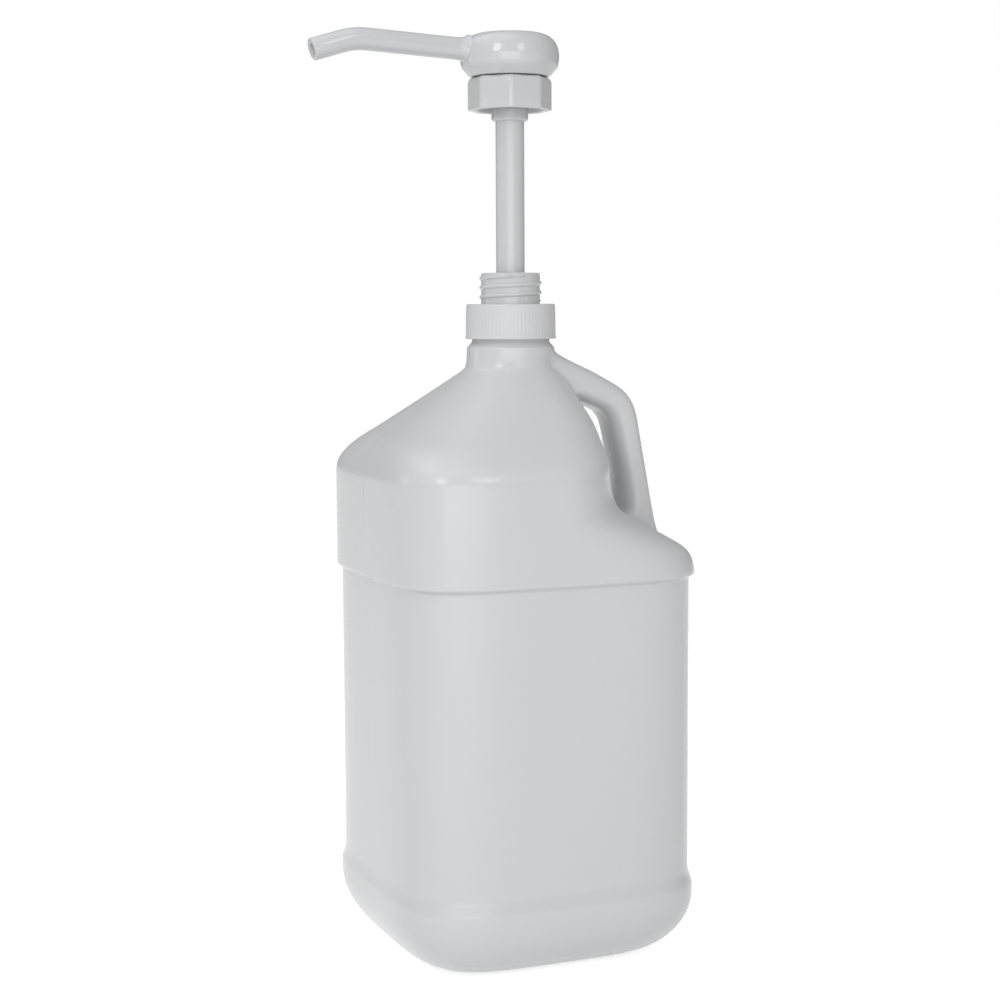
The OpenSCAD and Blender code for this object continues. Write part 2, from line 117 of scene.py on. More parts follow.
def addThread(bm, values):
    # a ridge that winds up a wall: a profile spun with a rise at each step
    steps = values["stepsPerTurn"]
    count = int(values["turns"] * steps)
    root, crest = values["root"], values["crest"]
    wide, narrow = values["baseWidth"] / 2, values["crestWidth"] / 2
    soft = narrow * 0.45
    outline = [(0, -wide), (0.55, -wide * 0.72), (0.9, -narrow), (1, -soft),
               (1, soft), (0.9, narrow), (0.55, wide * 0.72), (0, wide)]
    verts = [bm.verts.new(Vector((root + (crest - root) * t, 0, values["start"] + h)) * mm)
             for t, h in outline]
    edges = [bm.edges.new((a, b)) for a, b in zip(verts, verts[1:] + verts[:1])]
    before = set(bm.verts)
    spun = bmesh.ops.spin(bm, geom=edges, cent=(0, 0, 0), axis=(0, 0, 1),
                          dvec=(0, 0, values["pitch"] / steps * mm), angle=2 * math.pi * count / steps,
                          steps=count)
    ridge = verts + [v for v in bm.verts if v not in before]
    for vert in ridge:  # the ends run out into the wall
        turn = min(max((vert.co.z / mm - values["start"]) / values["pitch"], 0), values["turns"])
        run = min(1.0, max(0.02, turn * values["runOut"]),
                  max(0.02, (values["turns"] - turn) * values["runOut"]))
        flat = Vector((vert.co.x, vert.co.y, 0))
        radius = flat.length / mm
        flat = flat.normalized() * (root + (radius - root) * run) * mm
        vert.co = Vector((flat.x, flat.y, vert.co.z))
    for end in (edges, [g for g in spun["geom_last"] if isinstance(g, bmesh.types.BMEdge)]):
        bmesh.ops.contextual_create(bm, geom=end)
    phase = Matrix.Rotation(math.radians(values["phase"]), 3, "Z")
    bmesh.ops.rotate(bm, verts=ridge, cent=(0, 0, 0), matrix=phase)


def finishPiece(name, bm, body, material, nodes, creaseAngle=35, levels=0):
    bmesh.ops.remove_doubles(bm, verts=bm.verts, dist=1e-6)
    bmesh.ops.recalc_face_normals(bm, faces=bm.faces)
    mesh = bpy.data.meshes.new(name)
    bm.to_mesh(mesh)
    bm.free()
    piece = bpy.data.objects.new(name, mesh)
    bpy.context.scene.collection.objects.link(piece)
    for polygon in mesh.polygons:
        polygon.use_smooth = True
    mesh.set_sharp_from_angle(angle=math.radians(creaseAngle))
    mesh.materials.append(material)
    if levels:
        smoother = piece.modifiers.new("smoother", "SUBSURF")
        smoother.levels = smoother.render_levels = levels
    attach(piece, body)
    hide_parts(*nodes)
    return piece


def mouldedPlastic(name, values, seamWidth=0):
    # milky moulded plastic: faint cloudiness, a fine skin and uneven gloss
    material = bpy.data.materials.new(name)
    material.use_nodes = True
    tree = material.node_tree
    nodes, links = tree.nodes, tree.links
    shader = nodes["Principled BSDF"]
    place = nodes.new("ShaderNodeTexCoord")
    cloud = nodes.new("ShaderNodeTexNoise")
    cloud.inputs["Scale"].default_value = values["cloudScale"]
    cloud.inputs["Detail"].default_value = 3
    tint = nodes.new("ShaderNodeMix")
    tint.data_type = "RGBA"
    tint.inputs["A"].default_value = (*values["colour"], 1)
    tint.inputs["B"].default_value = (*[c * values["shade"] for c in values["colour"]], 1)
    links.new(place.outputs["Object"], cloud.inputs["Vector"])
    links.new(cloud.outputs["Fac"], tint.inputs["Factor"])
    links.new(tint.outputs["Result"], shader.inputs["Base Color"])
    gloss = nodes.new("ShaderNodeMapRange")
    gloss.inputs["To Min"].default_value = values["rough"] - values["roughSpread"]
    gloss.inputs["To Max"].default_value = values["rough"] + values["roughSpread"]
    links.new(cloud.outputs["Fac"], gloss.inputs["Value"])
    links.new(gloss.outputs["Result"], shader.inputs["Roughness"])
    skin = nodes.new("ShaderNodeTexNoise")
    skin.inputs["Scale"].default_value = values["skinScale"]
    skin.inputs["Detail"].default_value = 4
    links.new(place.outputs["Object"], skin.inputs["Vector"])
    bump = nodes.new("ShaderNodeBump")
    bump.inputs["Strength"].default_value = values["skinStrength"]
    bump.inputs["Distance"].default_value = values["skinDepth"] * mm
    links.new(skin.outputs["Fac"], bump.inputs["Height"])
    last = bump
    if seamWidth:  # the faint line where the mould's halves met, in the plane of the handle
        axes = nodes.new("ShaderNodeSeparateXYZ")
        away = nodes.new("ShaderNodeMath")
        away.operation = "ABSOLUTE"
        height = nodes.new("ShaderNodeMapRange")  # flatter on the label panel than above it
        height.inputs["From Min"].default_value = 0.19
        height.inputs["From Max"].default_value = 0.23
        height.inputs["To Min"].default_value = 0.15
        ridge = nodes.new("ShaderNodeMapRange")
        ridge.interpolation_type = "SMOOTHSTEP"
        ridge.inputs["From Max"].default_value = seamWidth * mm
        ridge.inputs["To Max"].default_value = 0
        last = nodes.new("ShaderNodeBump")
        last.inputs["Strength"].default_value = 0.8
        last.inputs["Distance"].default_value = 0.3 * mm
        links.new(place.outputs["Object"], axes.inputs["Vector"])
        links.new(axes.outputs["Z"], height.inputs["Value"])
        links.new(height.outputs["Result"], ridge.inputs["To Min"])
        links.new(axes.outputs["Y"], away.inputs[0])
        links.new(away.outputs[0], ridge.inputs["Value"])
        links.new(ridge.outputs["Result"], last.inputs["Height"])
        links.new(bump.outputs["Normal"], last.inputs["Normal"])
    links.new(last.outputs["Normal"], shader.inputs["Normal"])
    shader.inputs["IOR"].default_value = values["ior"]
    shader.inputs["Subsurface Weight"].default_value = values["milky"]
    shader.inputs["Subsurface Scale"].default_value = values["milkyDepth"] * mm
    shader.inputs["Subsurface Radius"].default_value = (1, 1, 0.95)
    material.diffuse_color = (*values["colour"], 1)
    return material


def metalFinish(name, values):
    # drawn or ground steel: fine streaks in colour and gloss
    material = bpy.data.materials.new(name)
    material.use_nodes = True
    tree = material.node_tree
    nodes, links = tree.nodes, tree.links
    shader = nodes["Principled BSDF"]
    place = nodes.new("ShaderNodeTexCoord")
    grain = nodes.new("ShaderNodeTexNoise")
    grain.inputs["Scale"].default_value = values["grainScale"]
    grain.inputs["Detail"].default_value = 5
    shadeRamp = nodes.new("ShaderNodeMix")
    shadeRamp.data_type = "RGBA"
    shadeRamp.inputs["A"].default_value = (*values["colour"], 1)
    shadeRamp.inputs["B"].default_value = (*[c * 0.8 for c in values["colour"]], 1)
    gloss = nodes.new("ShaderNodeMapRange")
    gloss.inputs["To Min"].default_value = values["rough"] * 0.7
    gloss.inputs["To Max"].default_value = values["rough"] * 1.4
    links.new(place.outputs["Object"], grain.inputs["Vector"])
    links.new(grain.outputs["Fac"], shadeRamp.inputs["Factor"])
    links.new(shadeRamp.outputs["Result"], shader.inputs["Base Color"])
    links.new(grain.outputs["Fac"], gloss.inputs["Value"])
    links.new(gloss.outputs["Result"], shader.inputs["Roughness"])
    shader.inputs["Metallic"].default_value = 1
    material.diffuse_color = (*values["colour"], 1)
    return material


finishes = {
    "jug": mouldedPlastic("jugPolyethylene", {
        "colour": (0.675, 0.683, 0.692), "shade": 0.985, "cloudScale": 14, "rough": 0.24, "roughSpread": 0.03,
        "skinScale": 420, "skinStrength": 0.12, "skinDepth": 0.12, "ior": 1.5, "milky": 0.15,
        "milkyDepth": 3}, seamWidth=0.6),
    "closure": mouldedPlastic("closurePolypropylene", {
        "colour": (0.68, 0.688, 0.697), "shade": 0.98, "cloudScale": 60, "rough": 0.4, "roughSpread": 0.04,
        "skinScale": 1600, "skinStrength": 0.15, "skinDepth": 0.05, "ior": 1.49, "milky": 0.1,
        "milkyDepth": 1.5}),
    "pump": mouldedPlastic("pumpPolypropylene", {
        "colour": (0.635, 0.643, 0.652), "shade": 0.985, "cloudScale": 40, "rough": 0.13, "roughSpread": 0.02,
        "skinScale": 300, "skinStrength": 0.05, "skinDepth": 0.1, "ior": 1.49, "milky": 0.1,
        "milkyDepth": 1.5}),
    "inner": mouldedPlastic("naturalPolypropylene", {
        "colour": (0.7, 0.71, 0.7), "shade": 0.95, "cloudScale": 50, "rough": 0.35, "roughSpread": 0.05,
        "skinScale": 500, "skinStrength": 0.06, "skinDepth": 0.1, "ior": 1.49, "milky": 0.2,
        "milkyDepth": 2}),
    "seal": mouldedPlastic("softSealPlastic", {
        "colour": (0.55, 0.56, 0.57), "shade": 0.92, "cloudScale": 90, "rough": 0.6, "roughSpread": 0.06,
        "skinScale": 1200, "skinStrength": 0.2, "skinDepth": 0.05, "ior": 1.5, "milky": 0.05,
        "milkyDepth": 1}),
    "steel": metalFinish("springSteel", {"colour": (0.58, 0.59, 0.6), "rough": 0.25, "grainScale": 900}),
}
print("finishes made")


jugForm = {
    "halfLength": 69.25, "halfDepth": 68.5, "bandStep": 1.9, "baseStep": 1.5, "baseBandHeight": 33,
    "panelTop": 171.5, "edgeHalf": 0.8, "cornerReach": 66, "cornerFullness": 4.3,
    "baseRoundWidth": 26, "baseRoundHeight": 27, "baseHollow": 2.5, "wall": 1.2,
    "frontEdge": 221, "leftEdge": 227, "leftRound": 24, "rightEdge": 182, "shoulder": 262, "neckFoot": 21.5,
    "collarRadius": 19.9, "collarTop": 272.5, "neckRadius": 17.55, "rim": 286.6, "gapWall": 31,
    "quarterSegments": 24, "handleSegments": 4, "handleSpan": 14.2, "meltPasses": 4,
    "footLevels": [182.2, 184.2, 186.1, 188.0, 189.9, 191.7, 193.4],
    "rootLevels": [250.4, 255.4, 259.6, 261.6, 263.0, 264.6, 270.0],
}
handleForm = {
    "squareness": 2.7,
    # centre line (x, z), then half thickness and half width
    "stations": [(34.0, 254.6, 8.0, 14.0), (38.5, 252.6, 7.7, 13.6), (42.5, 250.8, 7.4, 13.3),
                 (45.6, 249.3, 7.3, 13.1), (48.2, 247.6, 7.4, 13.0), (50.5, 245.3, 7.5, 12.9),
                 (52.4, 242.3, 7.3, 12.8), (53.7, 238.8, 6.9, 12.8), (54.8, 233.5, 6.7, 12.8),
                 (56.7, 223.4, 6.7, 12.8), (58.9, 212.0, 6.7, 12.8), (60.2, 204.0, 6.8, 12.9),
                 (60.8, 199.4, 7.1, 13.2)],
}


def bodySides(form):
    length, depth, step = form["halfLength"], form["halfDepth"], form["bandStep"]
    low, top, half = form["baseBandHeight"], form["panelTop"], form["edgeHalf"]
    shoulder, foot, collar = form["shoulder"], form["neckFoot"], form["collarRadius"]

    def lower(h):
        base = h + form["baseStep"]
        return [(base, -1, 0), (base, low - 1.2, 4), (h, low + 4.6, 12), (h, top - half, 0.5),
                (h + step, top + half, 0.9)]

    left = lower(length) + [(length + step, form["leftEdge"], form["leftRound"]),
                            (foot - 0.5, shoulder + 0.6, 2), (collar, shoulder + 4, 0),
                            (collar, form["rim"], 0)]
    right = lower(length) + [(length + step, form["rightEdge"], 9),
                             (form["gapWall"] + 4, form["rightEdge"] + 22, 26),
                             (form["gapWall"], shoulder - 22, 24), (foot, shoulder, 3),
                             (collar, shoulder + 2, 0), (collar, form["rim"], 0)]
    front = lower(depth) + [(depth + step, form["frontEdge"], 12), (foot, shoulder, 3),
                            (collar, shoulder + 2, 0), (collar, form["rim"], 0)]
    return [[(p.y, p.x) for p in roundedPath(side, 16)] for side in (left, right, front)]


def bodyRing(form, sides, z, inset=0.0, base=None):
    # one level outline, sampled evenly, with extra points where the handle joins
    left, right, front = sides
    full, reach = form["cornerFullness"], form["cornerReach"]
    frontEdge, rightEdge = form["frontEdge"], form["rightEdge"]
    shoulder, collar = form["shoulder"], form["collarRadius"]
    level = z if base is None else base
    rounding = form["baseRoundHeight"]
    pull = inset + (0 if level >= rounding else
                    form["baseRoundWidth"] * (1 - math.sqrt(1 - (1 - max(level, 0) / rounding) ** 2)))
    leftX, rightX = lookUp(left, level) - pull, lookUp(right, level) - pull
    depth = lookUp(front, level) - pull
    leftReach = min(lookUp([(frontEdge - 6, reach), (shoulder, collar)], level), leftX, depth)
    rightReach = min(lookUp([(rightEdge - 8, reach), (rightEdge + 27, 43), (shoulder, collar)], level), depth,
                     rightX + leftX - leftReach)
    joinX = min(0, rightX - rightReach)  # where the two sides' outlines meet
    depthReach = min(lookUp([(rightEdge - 8, reach), (rightEdge + 15, form["halfDepth"]), (shoulder, collar)],
                            level), depth)
    leftFull = lookUp([(frontEdge - 4, full), (frontEdge + 14, 2.6), (shoulder, 2)], level)
    rightFull = lookUp([(rightEdge - 8, full), (rightEdge + 18, 2.2), (shoulder, 2)], level)

    def quarter(hx, hy, rx, ry, m):
        path = [Vector((hx, 0))]
        for k in range(91):
            a = math.radians(k)
            path.append(Vector((hx - rx + rx * max(math.cos(a), 0) ** (2 / m),
                                hy - ry + ry * max(math.sin(a), 0) ** (2 / m))))
        return path

    def sample(path, marks):
        run = [0.0]
        for a, b in zip(path, path[1:]):
            run.append(run[-1] + (b - a).length)
        table = [(r, p) for r, p in zip(run, path)]
        return [lookUp(table, run[-1] * m) for m in marks]

    def share(path, span):
        # how far along the path its depth first reaches span
        total = sum((b - a).length for a, b in zip(path, path[1:]))
        run = 0.0
        for a, b in zip(path, path[1:]):
            if b.y >= span:
                return (run + (b - a).length * (span - a.y) / max(b.y - a.y, 1e-9)) / total
            run += (b - a).length
        return 0.5

    q, near = form["quarterSegments"], form["handleSegments"]
    rightPath = quarter(rightX, depth, rightReach, depthReach, rightFull) + [Vector((joinX, depth))]
    leftPath = quarter(leftX, depth, leftReach, leftReach, leftFull) + [Vector((-joinX, depth))]
    split = share(rightPath, min(form["handleSpan"], depth * 0.75))
    marks = [split * k / near for k in range(near)]
    marks += [split + (1 - split) * k / (q - near) for k in range(q - near + 1)]
    rightHalf = sample(rightPath, marks)
    leftHalf = sample(leftPath, [k / q for k in range(q + 1)])
    ring = [(p.x, p.y, z) for p in rightHalf[:-1]]
    ring += [(-p.x, p.y, z) for p in reversed(leftHalf[1:])]
    ring += [(-p.x, -p.y, z) for p in leftHalf[:-1]]
    ring += [(p.x, -p.y, z) for p in reversed(rightHalf[1:])]
    return ring


def makeJug(form, handle):
    sides = bodySides(form)
    low, top, half = form["baseBandHeight"], form["panelTop"], form["edgeHalf"]
    levels = [form["baseRoundHeight"] * (1 - math.cos(math.radians(a))) for a in range(0, 91, 9)]
    levels += [low - 3.4, low - 2, low - 1.2, low - 0.4, low + 1, low + 2.2, low + 3.4, low + 4.6, low + 6,
               low + 9, 52, 80, 110, 140, 160, 168, 170]
    levels += [top - half - 0.4, top - half, top, top + half * 0.7, top + half + 0.2, top + half + 0.8, 174,
               176, 178.2, 180.2]
    levels += form["footLevels"] + [195.4, 197.6, 200, 202.4, 204.6, 206.6, 208.8, 211.2, 213.6, 216, 218.4,
                                    220.8, 223.2, 225.6, 228, 230.6, 233.4, 236.6, 240, 243.4, 246.6]
    levels += form["rootLevels"] + [271.0, 271.8, form["collarTop"]]
    rings = [bodyRing(form, sides, 0, 32, 0), bodyRing(form, sides, form["baseHollow"], 28, 0),
             bodyRing(form, sides, form["baseHollow"], 14, 0), bodyRing(form, sides, 0.15, 10.6, 0),
             bodyRing(form, sides, 0, 9, 0), bodyRing(form, sides, 0, 4, 0)]
    first = len(rings)
    rings += [bodyRing(form, sides, z) for z in levels]
    count = len(rings[0])
    neck = form["neckRadius"]

    def neckRing(radius, z):
        return [Vector((p[0], p[1], 0)).normalized() * radius + Vector((0, 0, z))
                for p in rings[-1][:count]]

    ringed = [neckRing(r, z) for r, z in [(form["collarRadius"] - 0.3, form["collarTop"] + 0.25),
                                          (neck + 0.3, form["collarTop"] + 2.2),
                                          (neck, form["collarTop"] + 2.7), (neck, 278), (neck, 283),
                                          (neck, form["rim"] - 0.3), (neck - 0.3, form["rim"])]]
    bm = bmesh.new()
    loops = stackRings(bm, rings + ringed)
    capLoop(bm, loops[0])

    near = form["handleSegments"]
    sideIndex = list(range(-near, near + 1))

    def openHole(levelZ):
        # the faces that the handle joins are taken out, which leaves a ring of edges
        rows = [first + levels.index(z) for z in levelZ]
        inside = []
        for a, b in zip(rows, rows[1:]):
            for i, j in zip(sideIndex, sideIndex[1:]):
                corners = {loops[a][i % count], loops[a][j % count], loops[b][i % count], loops[b][j % count]}
                inside += [f for f in loops[a][i % count].link_faces if set(f.verts) == corners]
        rim = [loops[rows[0]][i % count] for i in sideIndex] + [loops[r][near] for r in rows[1:]]
        rim += [loops[rows[-1]][i % count] for i in reversed(sideIndex[:-1])]
        rim += [loops[r][-near % count] for r in reversed(rows[1:-1])]
        bmesh.ops.delete(bm, geom=inside, context="FACES")
        return rim

    footRim, rootRim = openHole(form["footLevels"]), openHole(form["rootLevels"])
    around = len(footRim)
    stations = handle["stations"]
    tubeRings = []
    for k, (x, z, thick, wide) in enumerate(stations):
        a, b = stations[max(k - 1, 0)], stations[min(k + 1, len(stations) - 1)]
        along = Vector((b[0] - a[0], 0, b[1] - a[1])).normalized()
        across = Vector((-along.z, 0, along.x))
        ring = []
        for i in range(around):
            t = 2 * math.pi * (i + 0.5) / around
            c, s = math.cos(t), math.sin(t)
            fat = handle["squareness"]
            u = math.copysign(abs(c) ** (2 / fat), c) * thick
            v = math.copysign(abs(s) ** (2 / fat), s) * wide
            ring.append(Vector((x, 0, z)) + across * u + Vector((0, v, 0)))
        tubeRings.append(ring)

    def matched(end, rim):
        # the rim's points in the order that lies nearest to the tube's end
        spots = [v.co / mm for v in rim]
        orders = [[spots[(shift + way * i) % around] for i in range(around)]
                  for shift in range(around) for way in (1, -1)]
        return min(orders, key=lambda order: sum((a - b).length for a, b in zip(end, order)))

    def between(end, rim, shares):
        goal = matched(end, rim)
        return [[a.lerp(b, share) for a, b in zip(end, goal)] for share in shares]

    rootJoin = between(tubeRings[0], rootRim, (0.68, 0.34))
    tubeRings = rootJoin + tubeRings + between(tubeRings[-1], footRim, (0.34, 0.68))
    tube = stackRings(bm, tubeRings)

    def ringEdges(loop):
        return [bm.edges.get((a, b)) for a, b in zip(loop, loop[1:] + loop[:1])]

    bmesh.ops.bridge_loops(bm, edges=ringEdges(rootRim) + ringEdges(tube[0]))
    bmesh.ops.bridge_loops(bm, edges=ringEdges(footRim) + ringEdges(tube[-1]))
    melted = set(rootRim + footRim + tube[0] + tube[1] + tube[-1] + tube[-2])
    melted |= {e.other_vert(v) for v in rootRim + footRim for e in v.link_edges}
    for _ in range(form["meltPasses"]):  # the joins melt into the wall as blown plastic does
        bmesh.ops.smooth_vert(bm, verts=list(melted), factor=0.5, use_axis_x=True, use_axis_y=True,
                              use_axis_z=True)
    bmesh.ops.remove_doubles(bm, verts=bm.verts, dist=1e-6)
    bmesh.ops.recalc_face_normals(bm, faces=bm.faces)
    # the hollow inside, open at the mouth
    bmesh.ops.solidify(bm, geom=list(bm.faces), thickness=form["wall"] * mm)
    addThread(bm, {"root": neck - 0.4, "crest": neck + 1.2, "start": form["rim"] - 9.7, "turns": 1.4,
                   "pitch": threadPitch, "baseWidth": 2.8, "crestWidth": 1.2, "stepsPerTurn": 32, "runOut": 6,
                   "phase": 0})
    return finishPiece("jugShell", bm, "jug", finishes["jug"], ["jug"], 60, 1)


jug = makeJug(jugForm, handleForm)
print("jug made")


closureForm = {
    "low": 276.4, "height": 15.7, "radius": 20.4, "ribDepth": 0.15, "ribs": 72, "lip": 1.2, "lipStand": 0.12,
    "topBand": 2.6, "topThickness": 2.2, "inside": 19.05, "hole": 13.6,
}


def makeClosure(form):
    low, high, radius = form["low"], form["low"] + form["height"], form["radius"]
    count = form["ribs"] * 4
    lip, band, out = form["lip"], form["topBand"], radius + form["lipStand"]
    crown = radius - 0.25
    profile = [(form["inside"], low + 0.3), (form["inside"] + 0.3, low), (out - 0.3, low), (out, low + 0.3),
               (out, low + lip - 0.25), (out - 0.15, low + lip)]
    ribbed = [(radius - 0.02, low + lip + 0.25), (radius - 0.04, low + lip + 1),
              (radius - 0.15, high - band - 1.2), (crown, high - band - 0.4)]
    tail = [(crown, high - band), (crown - 0.03, high - 0.9), (crown - 0.1, high - 0.5),
            (crown - 0.32, high - 0.2), (crown - 0.7, high - 0.04), (crown - 1.2, high),
            (form["hole"] + 0.4, high), (form["hole"], high - 0.4),
            (form["hole"], high - form["topThickness"]), (form["inside"], high - form["topThickness"])]
    rings = turned(profile, count)
    for k, (r, z) in enumerate(ribbed):
        depth = form["ribDepth"] * (1, 1, 1, 0.3)[k]
        groove = [r - depth * (0, 0.35, 1, 0.35)[i % 4] for i in range(count)]
        rings.append([(groove[i] * math.cos(2 * math.pi * i / count),
                       groove[i] * math.sin(2 * math.pi * i / count), z) for i in range(count)])
    rings += turned(tail, count)
    bm = bmesh.new()
    stackRings(bm, rings, joinEnds=True)
    addThread(bm, {"root": form["inside"] + 0.3, "crest": form["inside"] - 1.05, "start": 279.0, "turns": 1.3,
                   "pitch": threadPitch, "baseWidth": 2.3, "crestWidth": 0.8, "stepsPerTurn": 32, "runOut": 6,
                   "phase": 0})
    return finishPiece("closureShell", bm, "closure", finishes["closure"], ["closure"], 40)


makeClosure(closureForm)
print("closure made")


stubForm = {
    "skirtLow": 283.6, "skirtRadius": 11.7, "low": 289.6, "top": 306.0, "radius": 13.3, "bore": 6.5,
    "sealPocket": 8.55, "sealPocketHeight": 3, "recess": 8.65, "recessLow": 291.2, "crest": 14.1,
}


def makeStub(form):
    low, top, radius = form["low"], form["top"], form["radius"]
    profile = [(form["sealPocket"], form["skirtLow"]), (form["skirtRadius"] - 0.4, form["skirtLow"]),
               (form["skirtRadius"], form["skirtLow"] + 0.4), (form["skirtRadius"], low), (radius, low),
               (radius, top - 0.9), (radius - 0.12, top - 0.4), (radius - 0.4, top - 0.12),
               (radius - 0.9, top), (form["recess"] + 0.7, top), (form["recess"] + 0.2, top - 0.2),
               (form["recess"], top - 0.7), (form["recess"], form["recessLow"]),
               (form["bore"], form["recessLow"]), (form["bore"], form["skirtLow"] + form["sealPocketHeight"]),
               (form["sealPocket"], form["skirtLow"] + form["sealPocketHeight"])]
    bm = bmesh.new()
    stackRings(bm, turned(profile, 128), joinEnds=True)
    addThread(bm, {"root": radius - 0.3, "crest": form["crest"], "start": 293.0, "turns": 2.84,
                   "pitch": threadPitch, "baseWidth": 2.3, "crestWidth": 0.9, "stepsPerTurn": 96,
                   "runOut": 10, "phase": -22})
    return finishPiece("threadedStub", bm, "pump_body", finishes["pump"],
                       ["threaded_collar"], 40)


makeStub(stubForm)
print("threaded stub made")


nutForm = {
    "low": 378.2, "top": 392.75, "acrossFlats": 35.2, "cornerRadius": 3.4, "turn": 1.8, "web": 3.7,
    "bore": 14.6, "hole": 7.65, "shoulder": 2.8,
}


def nutRing(form, inset, z, perSide):
    # eight flats with soft corners, pulled in by inset
    half, corner = form["acrossFlats"] / 2 - inset, max(form["cornerRadius"] - inset, 0.6)
    ring = []
    for side in range(8):
        middle = math.radians(form["turn"]) + (side + 0.5) * math.pi / 4
        reach = (half - corner) / math.cos(math.pi / 8)
        for k in range(perSide):
            a = middle + (k / (perSide - 1) - 0.5) * math.pi / 4
            ring.append((reach * math.cos(middle) + corner * math.cos(a),
                         reach * math.sin(middle) + corner * math.sin(a), z))
    return ring


def makeNut(form):
    low, top, per = form["low"], form["top"], 12
    count = per * 8
    start = math.radians(form["turn"])

    def roundRing(radius, z):
        ring = []
        for side in range(8):
            for k in range(per):
                a = start + (side + (k + 0.5) / per) * math.pi / 4
                ring.append((radius * math.cos(a), radius * math.sin(a), z))
        return ring

    shoulder = form["shoulder"]
    rings = [roundRing(form["bore"], low + 0.4), roundRing(form["bore"] + 0.4, low),
             nutRing(form, 0.5, low, per), nutRing(form, 0.12, low + 0.15, per),
             nutRing(form, 0, low + 0.6, per), nutRing(form, 0, top - shoulder - 0.6, per)]
    for k in range(1, 9):
        a = math.radians(90 * k / 8)
        rings.append(nutRing(form, (1 - math.cos(a)) * shoulder * 0.8, top - shoulder * (1 - math.sin(a)),
                             per))
    rings += [roundRing(form["hole"] + 3, top), roundRing(form["hole"] + 0.3, top),
              roundRing(form["hole"], top - 0.3), roundRing(form["hole"], top - form["web"]),
              roundRing(form["bore"], top - form["web"])]
    bm = bmesh.new()
    stackRings(bm, rings, joinEnds=True)
    addThread(bm, {"root": form["bore"] + 0.3, "crest": 13.4, "start": low + 2.2, "turns": 1.5,
                   "pitch": threadPitch, "baseWidth": 1.6, "crestWidth": 0.6, "stepsPerTurn": 48, "runOut": 6,
                   "phase": 200})
    return finishPiece("lockNutShell", bm, "lock_nut", finishes["pump"], ["lock_nut"], 50)


makeNut(nutForm)
print("lock nut made")


headForm = {
    "low": 393.0, "top": 412.4, "radius": 22.3, "stemRadius": 6.45, "spoutZ": 403.3, "spoutRadius": 4.9,
    "spoutBore": 2.7, "spoutBend": 73, "spoutTip": 20, "spoutRise": 3, "spoutTurn": 20, "bendLength": 5.5,
    "socketTop": 400, "spoutSegments": 48,
    # distance from the axis and radius, from inside the head to the plain tube
    "knuckle": [(14, 4.9), (20.4, 6.6), (21.4, 5.9), (22.4, 5.4), (23.6, 5.08), (25.2, 4.93), (28, 4.9),
                (40, 4.9), (55, 4.9)],
}


def makeHead(form):
    low, top, radius = form["low"], form["top"], form["radius"]
    outer = roundedPath([(radius - 4.6 - 5, low, 0), (radius - 4.6, low, 1.2), (radius - 0.6, low + 4.5, 5),
                         (radius, low + 9, 6), (radius - 1.4, top - 0.9, 8.5), (3, top, 0)], 9)
    inner = [(form["stemRadius"], form["socketTop"] - 0.2), (form["stemRadius"], low + 0.2),
             (form["stemRadius"] + 0.2, low), (form["stemRadius"] + 2.8, low),
             (form["stemRadius"] + 3, low + 0.2), (form["stemRadius"] + 3, low + 5), (radius - 4, low + 5),
             (radius - 5.8, low + 0.5), (radius - 5.6, low)]
    profile = inner + [(p.x, p.y) for p in outer]
    bm = bmesh.new()
    loops = stackRings(bm, turned(profile, 112))
    capLoop(bm, loops[-1])
    capLoop(bm, loops[0])
    rise, turn = math.radians(form["spoutRise"]), math.radians(form["spoutTurn"])
    straight = Vector((-math.cos(rise), 0, math.sin(rise)))
    tipWay = Vector((-math.cos(rise - turn), 0, math.sin(rise - turn)))
    start = Vector((0, 0, form["spoutZ"]))
    bend = start + straight * form["spoutBend"]
    end = bend + tipWay * form["spoutTip"]
    soft = form["bendLength"]
    line = [(start + straight * d, straight, r) for d, r in form["knuckle"]]
    for k in range(9):  # the bend, eased between its two straight lengths
        t = k / 8
        point = (bend - straight * soft) * (1 - t) ** 2 + bend * 2 * t * (1 - t) + (bend + tipWay * soft) * t ** 2
        way = (straight * (1 - t) + tipWay * t).normalized()
        line.append((point, way, form["spoutRadius"]))
    r, hole = form["spoutRadius"], form["spoutBore"]
    line += [(end - tipWay * 8, tipWay, r), (end - tipWay * 0.5, tipWay, r),
             (end - tipWay * 0.15, tipWay, r - 0.12), (end, tipWay, r - 0.45), (end, tipWay, hole + 0.35),
             (end - tipWay * 0.12, tipWay, hole + 0.08), (end - tipWay * 0.4, tipWay, hole),
             (end - tipWay * 17, tipWay, hole), (bend - straight * 25, straight, hole)]
    rings, around = [], form["spoutSegments"]
    for point, way, size in line:
        up = Vector((-way.z, 0, way.x)) * -1
        turns = [2 * math.pi * k / around for k in range(around)]
        rings.append([point + (Vector((0, 1, 0)) * math.cos(t) + up * math.sin(t)) * size for t in turns])
    spout = stackRings(bm, rings)
    capLoop(bm, spout[-1])
    capLoop(bm, spout[0])
    return finishPiece("pumpHeadShell", bm, "plunger", finishes["pump"], ["pump_head"], 40)


makeHead(headForm)
print("head made")


slotFinish = {"jug_plastic": "jug", "closure_plastic": "closure", "pump_plastic": "pump",
              "inner_plastic": "inner", "seal_plastic": "seal", "steel": "steel"}
for part in frame["record"]["subparts"]:
    solid = frame["nodes"][part["node"]]
    solid.data.materials.clear()
    solid.data.materials.append(finishes[slotFinish[part["material_slot"]]])
print("solids dressed")


